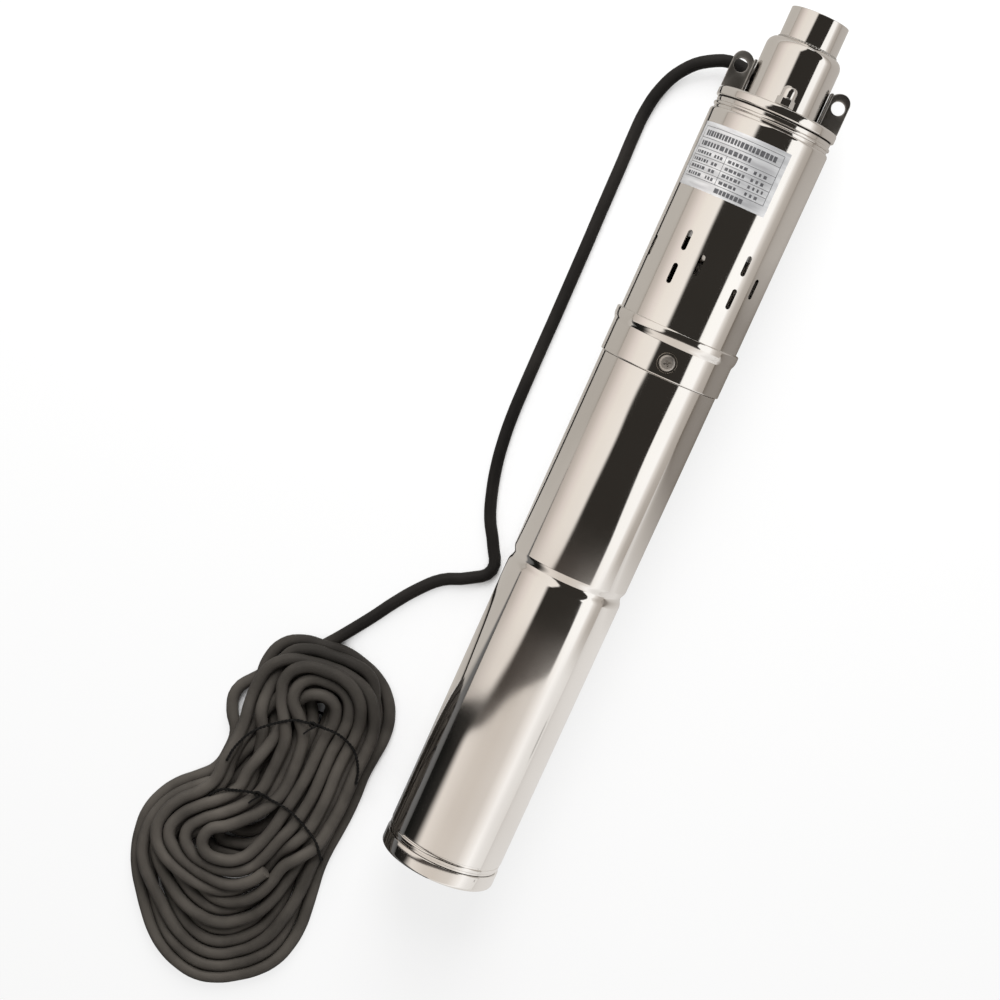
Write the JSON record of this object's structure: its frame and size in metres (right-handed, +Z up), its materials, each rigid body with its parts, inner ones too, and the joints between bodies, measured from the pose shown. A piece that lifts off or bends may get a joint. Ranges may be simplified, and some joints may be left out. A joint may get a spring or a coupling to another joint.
{
  "type": "borehole submersible pump",
  "caption": "Slim stainless screw pump for a borehole with its sealed brushless motor, threaded outlet, lifting ears, inlet slots and a coiled rubber cord.",
  "frame": {"origin": "on the ground under the middle of the pump's length, with the pump lying on its collar bead", "axes": "+Y along the pump axis towards the outlet, +Z up from the ground, +X to the right seen from above"},
  "size_m": [0.219, 0.7175, 0.08],
  "materials": {
    "polished_stainless": "polished",
    "satin_stainless": "satin",
    "cast_aluminium": "cast",
    "black_rubber": "matte",
    "copper_winding": "enamelled wire",
    "lamination_steel": "stacked sheet",
    "sintered_magnet": "sintered",
    "seal_carbon": "lapped",
    "circuit_board": "lacquered",
    "cord_rubber": "matte",
    "tie_wire": "matte",
    "capacitor_sleeve": "shrink sleeve"
  },
  "bodies": {
    "casing": {"outlet_socket": "polished_stainless", "outlet_head": "polished_stainless", "lifting_ear_left": "polished_stainless", "lifting_ear_right": "polished_stainless", "cap_nut_front": "polished_stainless", "cap_nut_rear": "polished_stainless", "tie_rod_front": "satin_stainless", "tie_rod_rear": "satin_stainless", "rod_spacer_front": "satin_stainless", "rod_spacer_rear": "satin_stainless", "cable_gland": "black_rubber", "head_gasket": "black_rubber", "neck_ring": "polished_stainless", "pump_barrel": "polished_stainless", "stator_sleeve": "satin_stainless", "stator_rubber": "black_rubber", "stator_support": "cast_aluminium", "joint_collar": "polished_stainless", "collar_screw_1": "polished_stainless", "collar_screw_2": "polished_stainless", "collar_screw_3": "polished_stainless", "upper_end_bell": "cast_aluminium", "joint_o_ring": "black_rubber", "seal_seat": "seal_carbon", "upper_bearing_outer": "satin_stainless", "stator_core": "lamination_steel", "winding_upper": "copper_winding", "winding_lower": "copper_winding", "lower_end_bell": "cast_aluminium", "lower_bearing_outer": "satin_stainless", "motor_barrel": "polished_stainless", "module_carrier": "cast_aluminium", "drive_board": "circuit_board", "capacitor_1": "capacitor_sleeve", "capacitor_2": "capacitor_sleeve", "base_ring": "polished_stainless", "base_o_ring": "black_rubber", "pressure_diaphragm": "black_rubber", "bottom_cap": "polished_stainless", "internal_lead": "cord_rubber", "cord_lead": "cord_rubber", "cord_hank": "cord_rubber", "hank_tie_upper": "tie_wire", "hank_tie_lower": "tie_wire"},
    "shaft": {"motor_shaft": "satin_stainless", "rotor_core": "lamination_steel", "rotor_magnet": "sintered_magnet", "seal_head": "satin_stainless", "seal_spring": "satin_stainless", "sand_slinger": "black_rubber", "shaft_coupling": "satin_stainless", "upper_bearing_inner": "satin_stainless", "lower_bearing_inner": "satin_stainless"},
    "upper_balls": {"upper_ball_ring": "satin_stainless"},
    "lower_balls": {"lower_ball_ring": "satin_stainless"},
    "coupling_rod": {"coupling_rod": "satin_stainless"},
    "screw": {"screw_rotor": "polished_stainless"}
  },
  "joints": [
    {"name": "motor_turn", "type": "hinge", "parent": "casing", "child": "shaft", "pos_m": [0, 0, 0.04], "axis": [0, 1, 0], "continuous": true},
    {"name": "upper_balls_turn", "type": "hinge", "parent": "casing", "child": "upper_balls", "pos_m": [0, 0, 0.04], "axis": [0, 1, 0], "continuous": true},
    {"name": "lower_balls_turn", "type": "hinge", "parent": "casing", "child": "lower_balls", "pos_m": [0, 0, 0.04], "axis": [0, 1, 0], "continuous": true},
    {"name": "coupling_rod_orbit", "type": "hinge", "parent": "casing", "child": "coupling_rod", "pos_m": [0, 0, 0.04], "axis": [0, 1, 0], "continuous": true},
    {"name": "screw_turn", "type": "hinge", "parent": "coupling_rod", "child": "screw", "pos_m": [0.0025, 0, 0.04], "axis": [0, 1, 0], "continuous": true}
  ],
  "couplings": [
    {"joint": "upper_balls_turn", "follows": "motor_turn", "ratio": 0.4},
    {"joint": "lower_balls_turn", "follows": "motor_turn", "ratio": 0.4},
    {"joint": "coupling_rod_orbit", "follows": "motor_turn", "ratio": -1},
    {"joint": "screw_turn", "follows": "motor_turn", "ratio": 2}
  ]
}
